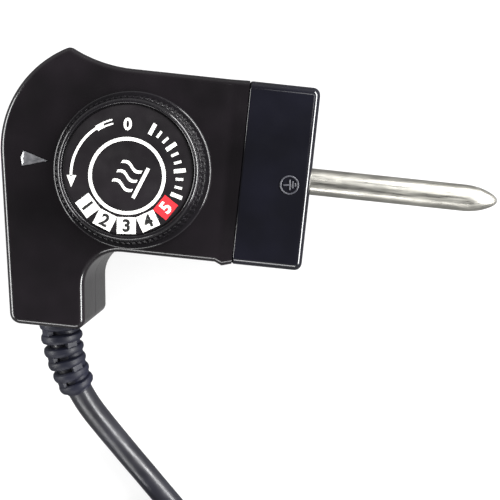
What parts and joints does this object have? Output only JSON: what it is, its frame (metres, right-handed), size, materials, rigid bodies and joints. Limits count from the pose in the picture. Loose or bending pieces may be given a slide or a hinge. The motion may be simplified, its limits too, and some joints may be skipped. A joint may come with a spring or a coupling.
{
  "type": "griddle thermostat cord",
  "caption": "Plug-in temperature control for an electric griddle: black round-backed casing with a turning dial, a hooded contact end, a stainless probe and a round mains lead with its plug.",
  "frame": {"origin": "where the probe's axis crosses the front plane of the hood", "axes": "+X along the probe towards its tip, +Z out of the dial's face, +Y to the side away from the cord leg"},
  "size_m": [0.144, 0.2505, 0.042],
  "materials": {
    "case_black": "gloss, near black with a warm tint",
    "hood_black": "gloss, near black with a cool tint",
    "dial_black": "satin to gloss, near black",
    "ceramic": "unglazed steatite",
    "plated_brass": "nickel plated",
    "bronze": "rolled strip",
    "brass": "turned",
    "stainless": "smooth drawn tube, satin",
    "zinc_steel": "zinc plated",
    "nickel": "nickel plated, bright",
    "silver": "silver contact face",
    "phenolic": "moulded phenolic",
    "clear_lens": "clear moulded, facetted",
    "lamp_glass": "clear glass",
    "resistor_tan": "lacquered",
    "wire_brown": "insulated, smooth",
    "wire_blue": "insulated, smooth",
    "wire_green": "insulated, smooth",
    "clamp_black": "moulded",
    "relief_rubber": "satin",
    "cord_black": "satin, with a soft sheen",
    "plug_black": "satin, moulded",
    "plug_grey": "satin, moulded"
  },
  "bodies": {
    "casing": {"upper_housing": "case_black", "lower_housing": "case_black", "contact_hood": "hood_black", "contact_block": "ceramic", "contact_sleeve_left": "plated_brass", "contact_sleeve_right": "plated_brass", "earth_spring": "bronze", "probe_tube": "stainless", "probe_nut": "brass", "mech_frame": "zinc_steel", "shaft_bush": "brass", "blade_washers": "ceramic", "stack_rivet": "zinc_steel", "blade_bracket": "brass", "hinge_pins": "zinc_steel", "pointer_lens": "clear_lens", "neon_lamp": "lamp_glass", "neon_resistor": "resistor_tan", "live_wire": "wire_brown", "neutral_wire": "wire_blue", "earth_wire": "wire_green", "jumper_wire": "wire_brown", "cord_clamp": "clamp_black", "clamp_screws": "zinc_steel", "housing_screws": "zinc_steel", "strain_relief": "relief_rubber", "cord_end": "cord_black", "cord_run": "cord_black", "cord_coil": "cord_black", "cord_tail": "cord_black", "coil_tie": "clamp_black", "plug_body": "plug_black", "plug_face": "plug_grey", "plug_pins": "nickel", "plug_earth_clips": "nickel", "plug_relief": "relief_rubber"},
    "dial": {"dial_knob": "dial_black", "dial_face": "dial_black", "dial_shaft": "zinc_steel", "shaft_clip": "zinc_steel", "dial_cam": "ceramic"},
    "rod": {"expansion_rod": "ceramic"},
    "blade": {"contact_blade": "bronze", "blade_contact": "silver"},
    "lever": {"set_lever": "phenolic", "lever_contact": "silver"}
  },
  "joints": [
    {"name": "dial_turn", "type": "hinge", "parent": "casing", "child": "dial", "pos_m": [-0.0465, -0.0024, 0.0158], "axis": [0, 0, 1], "range_deg": [-146, 85]},
    {"name": "lever_tilt", "type": "hinge", "parent": "casing", "child": "lever", "pos_m": [-0.036, 0, -0.004], "axis": [0, 1, 0], "range_deg": [-3, 5]},
    {"name": "rod_slide", "type": "slide", "parent": "casing", "child": "rod", "axis": [1, 0, 0], "range_m": [0, 0.0004]},
    {"name": "blade_tilt", "type": "hinge", "parent": "casing", "child": "blade", "pos_m": [-0.0324, 0, -0.007], "axis": [0, 1, 0], "range_deg": [0, 3.4]}
  ],
  "couplings": [
    {"joint": "lever_tilt", "follows": "dial_turn", "ratio": -0.031831},
    {"joint": "blade_tilt", "follows": "rod_slide", "rad_per_m": 142.86}
  ]
}
